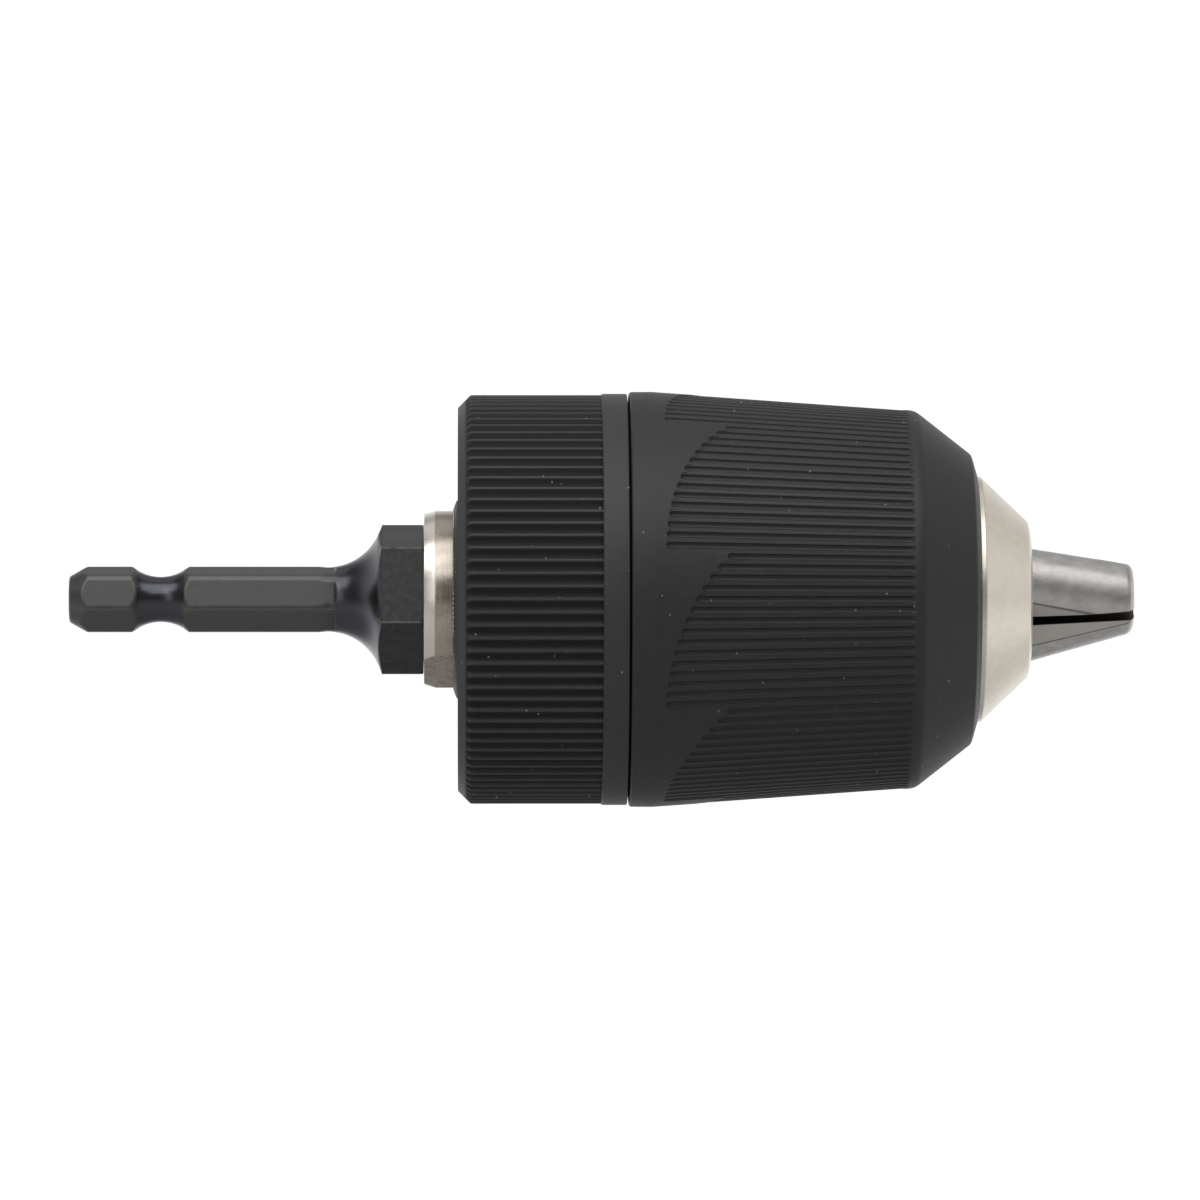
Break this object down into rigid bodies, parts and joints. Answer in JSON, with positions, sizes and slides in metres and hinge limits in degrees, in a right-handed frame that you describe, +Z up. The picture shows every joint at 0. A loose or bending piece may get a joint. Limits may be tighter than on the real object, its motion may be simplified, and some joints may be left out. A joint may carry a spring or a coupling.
{
  "type": "keyless drill chuck with hex shank",
  "caption": "Keyless drill chuck with two ribbed plastic sleeves, tapered steel nose, round-pin jaws and a quick-change hex shank.",
  "frame": {"origin": "centre of the hex shank's end face", "axes": "+X along the chuck's axis from the shank's end to the jaw tips, +Z up, -Y towards the viewer of the side view"},
  "size_m": [0.1125, 0.044, 0.044],
  "materials": {
    "black_oxide": "satin black oxide on turned and milled steel",
    "nickel_steel": "machined steel with a warm nickel plating",
    "satin_nickel": "satin nickel with fine turning marks",
    "black_plastic": "matte moulded black",
    "jaw_steel": "ground hardened steel",
    "zinc_steel": "zinc plated",
    "bearing_steel": "polished",
    "cage_brass": "satin"
  },
  "bodies": {
    "chuck": {"hex_adapter": "black_oxide", "retaining_screw": "zinc_steel", "chuck_body": "nickel_steel", "nose_ring": "satin_nickel", "rear_sleeve": "black_plastic", "rear_race": "bearing_steel"},
    "sleeve": {"front_sleeve": "black_plastic", "nut_jacket": "zinc_steel", "nut_half_a": "jaw_steel", "nut_half_b": "jaw_steel", "front_race": "bearing_steel"},
    "bearing": {"ball_cage": "cage_brass", "bearing_balls": "bearing_steel"},
    "first_jaw": {"jaw_1": "jaw_steel"},
    "second_jaw": {"jaw_2": "jaw_steel"},
    "third_jaw": {"jaw_3": "jaw_steel"}
  },
  "joints": [
    {"name": "sleeve_turn", "type": "hinge", "parent": "chuck", "child": "sleeve", "pos_m": [0.0712, 0, 0], "axis": [1, 0, 0], "range_deg": [0, 3960]},
    {"name": "bearing_turn", "type": "hinge", "parent": "chuck", "child": "bearing", "pos_m": [0.069, 0, 0], "axis": [1, 0, 0], "range_deg": [0, 1980]},
    {"name": "first_jaw_slide", "type": "slide", "parent": "chuck", "child": "first_jaw", "axis": [-0.9632, -0.2281, 0.1425], "range_m": [0, 0.022]},
    {"name": "second_jaw_slide", "type": "slide", "parent": "chuck", "child": "second_jaw", "axis": [-0.9632, 0.2374, 0.1262], "range_m": [0, 0.022]},
    {"name": "third_jaw_slide", "type": "slide", "parent": "chuck", "child": "third_jaw", "axis": [-0.9632, -0.0094, -0.2688], "range_m": [0, 0.022]}
  ],
  "couplings": [
    {"joint": "bearing_turn", "follows": "sleeve_turn", "ratio": 0.5},
    {"joint": "first_jaw_slide", "follows": "sleeve_turn", "m_per_rad": 0.0003183},
    {"joint": "second_jaw_slide", "follows": "sleeve_turn", "m_per_rad": 0.0003183},
    {"joint": "third_jaw_slide", "follows": "sleeve_turn", "m_per_rad": 0.0003183}
  ]
}
